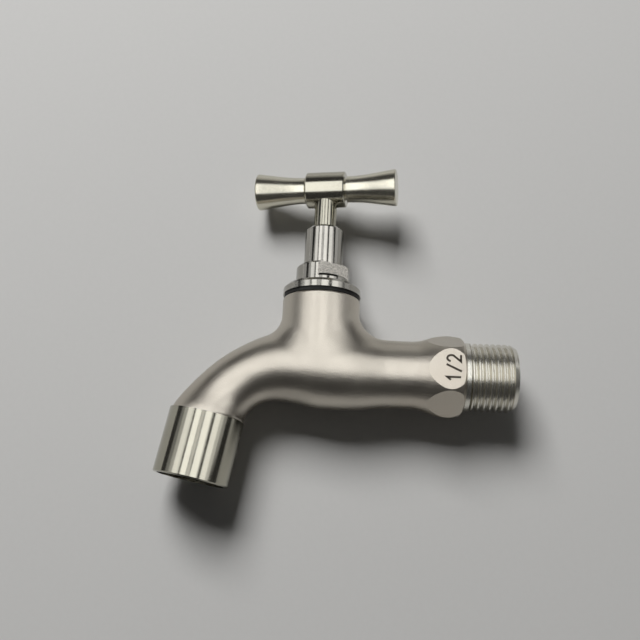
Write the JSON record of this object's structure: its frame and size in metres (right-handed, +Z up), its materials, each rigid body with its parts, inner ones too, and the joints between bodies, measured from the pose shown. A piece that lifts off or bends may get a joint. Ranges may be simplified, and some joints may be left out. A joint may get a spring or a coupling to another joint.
{
  "type": "wall tap",
  "caption": "Wall-mounted tap in satin stainless steel: male threaded inlet, bent spout with an outlet sleeve, rising spindle and flared T-bar handle.",
  "frame": {"origin": "centre of the inlet thread's shoulder, on the inlet pipe's axis", "axes": "+X out of the inlet, into the wall; +Z up along the spindle; the spout hangs towards -X"},
  "size_m": [0.1086, 0.0248, 0.1041],
  "materials": {
    "cast_steel": "bead-blasted satin",
    "turned_steel": "bright turned",
    "black_rubber": "matt",
    "black_plastic": "matt"
  },
  "bodies": {
    "tap": {"body": "cast_steel", "outlet_sleeve": "turned_steel", "outlet_washer": "black_rubber", "aerator_shell": "black_plastic", "aerator_grid": "black_plastic", "aerator_screen": "turned_steel", "bonnet": "turned_steel", "bonnet_gasket": "black_rubber"},
    "valve": {"jumper": "turned_steel", "jumper_clip": "turned_steel", "tap_washer": "black_rubber", "washer_plate": "turned_steel", "washer_nut": "turned_steel"},
    "spindle_and_handle": {"spindle": "turned_steel", "o_ring_lower": "black_rubber", "o_ring_upper": "black_rubber", "stop_washer": "black_plastic", "handle_hub": "turned_steel", "handle_rod": "turned_steel", "handle_grip_left": "turned_steel", "handle_grip_right": "turned_steel"}
  },
  "joints": [
    {"name": "valve_lift", "type": "slide", "parent": "tap", "child": "valve", "axis": [0, 0, 1], "range_m": [0, 0.005]},
    {"name": "handle_turn", "type": "hinge", "parent": "valve", "child": "spindle_and_handle", "pos_m": [-0.0446, 0, 0.06145], "axis": [0, 0, 1], "range_deg": [0, 900]}
  ],
  "couplings": [
    {"joint": "handle_turn", "follows": "valve_lift", "rad_per_m": 3141.6}
  ]
}
